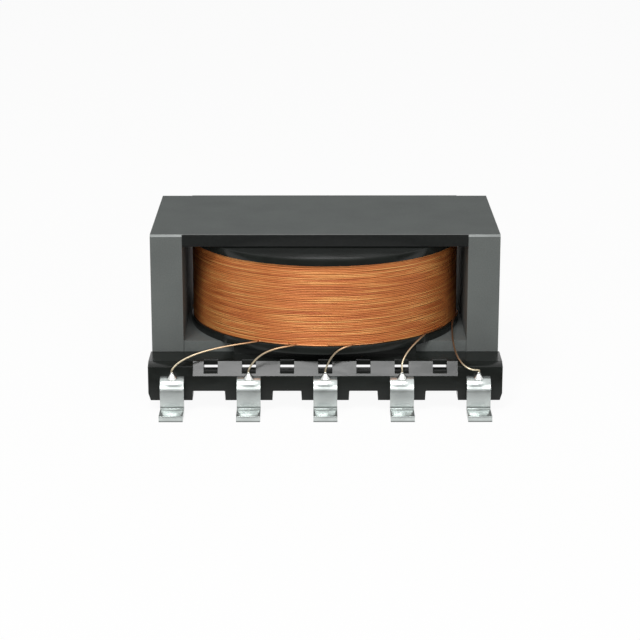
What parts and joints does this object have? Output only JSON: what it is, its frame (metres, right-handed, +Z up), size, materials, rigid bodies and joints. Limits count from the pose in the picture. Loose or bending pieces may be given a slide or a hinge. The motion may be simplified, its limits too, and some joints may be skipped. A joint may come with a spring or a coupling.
{
  "type": "pcb transformer",
  "caption": "Low-profile surface-mount transformer: grey ferrite core, black moulded bobbin, copper winding and two rows of tinned gull-wing terminals.",
  "frame": {"origin": "The middle of the footprint, on the plane of the terminals' soles.", "axes": "+X runs along the two terminal rows, +Y points from the front row to the back row, and +Z points up off the board. The front row is on the -Y side."},
  "size_m": [0.0146, 0.0142, 0.0071],
  "materials": {
    "ferrite": "ground matt dark grey ferrite",
    "moulding": "black glass-filled phenolic, slightly glossy",
    "enamelled_copper": "enamelled copper wire, reddish brown and glossy",
    "edge_strip": "thin dark insulating strip",
    "polyester_tape": "thin amber polyester film",
    "tinned_strip": "matt tin plate on bronze strip",
    "solder": "bright smooth tin solder"
  },
  "bodies": {
    "root": {"core_upper": "ferrite", "core_lower": "ferrite", "bobbin": "moulding", "winding_inner": "enamelled_copper", "layer_tape": "polyester_tape", "winding_outer": "enamelled_copper", "edge_tape_front": "edge_strip", "edge_tape_back": "edge_strip", "pin_front_1": "tinned_strip", "pin_front_2": "tinned_strip", "pin_front_3": "tinned_strip", "pin_front_4": "tinned_strip", "pin_front_5": "tinned_strip", "pin_back_1": "tinned_strip", "pin_back_2": "tinned_strip", "pin_back_3": "tinned_strip", "pin_back_4": "tinned_strip", "pin_back_5": "tinned_strip", "lead_front_1": "enamelled_copper", "lead_front_2": "enamelled_copper", "lead_front_3": "enamelled_copper", "lead_front_4": "enamelled_copper", "lead_front_5": "enamelled_copper", "lead_back_1": "enamelled_copper", "lead_back_2": "enamelled_copper", "lead_back_3": "enamelled_copper", "lead_back_4": "enamelled_copper", "lead_back_5": "enamelled_copper", "solder_front_1": "solder", "solder_front_2": "solder", "solder_front_3": "solder", "solder_front_4": "solder", "solder_front_5": "solder", "solder_back_1": "solder", "solder_back_2": "solder", "solder_back_3": "solder", "solder_back_4": "solder", "solder_back_5": "solder"}
  },
  "joints": []
}
